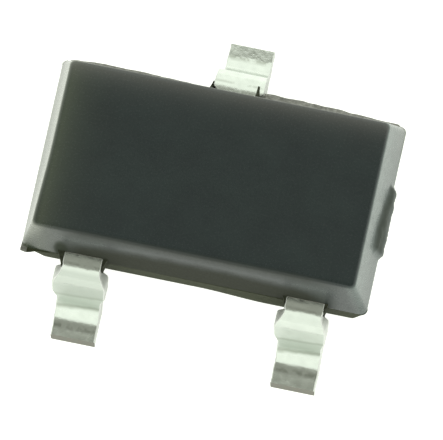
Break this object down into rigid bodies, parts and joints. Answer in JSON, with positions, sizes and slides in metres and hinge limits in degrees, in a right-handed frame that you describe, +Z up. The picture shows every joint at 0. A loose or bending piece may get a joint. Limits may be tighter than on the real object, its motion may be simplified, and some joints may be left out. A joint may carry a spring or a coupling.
{
  "type": "tvs diode",
  "caption": "Surface mount TVS diode: drafted black epoxy body with tinned gull wing leads bent down to flat solder feet on both long sides.",
  "frame": {"origin": "on the board plane, under the middle of the body, level with the undersides of the feet", "axes": "+X along the body towards the gate mark, +Y across it towards the side with the single lead, +Z up off the board"},
  "size_m": [0.003, 0.0028, 0.0012],
  "materials": {
    "resin": "black epoxy moulding compound, finely sparked mould finish",
    "tinned_lead": "matte tin plate on a copper alloy strip",
    "solder": "soft solder layer",
    "silicon": "polished silicon with metal bond pads",
    "gold_wire": "drawn gold wire"
  },
  "bodies": {
    "root": {"body": "resin", "lead_1": "tinned_lead", "lead_2": "tinned_lead", "lead_3": "tinned_lead", "die_attach": "solder", "die": "silicon", "wire_1": "gold_wire", "wire_2": "gold_wire"}
  },
  "joints": []
}
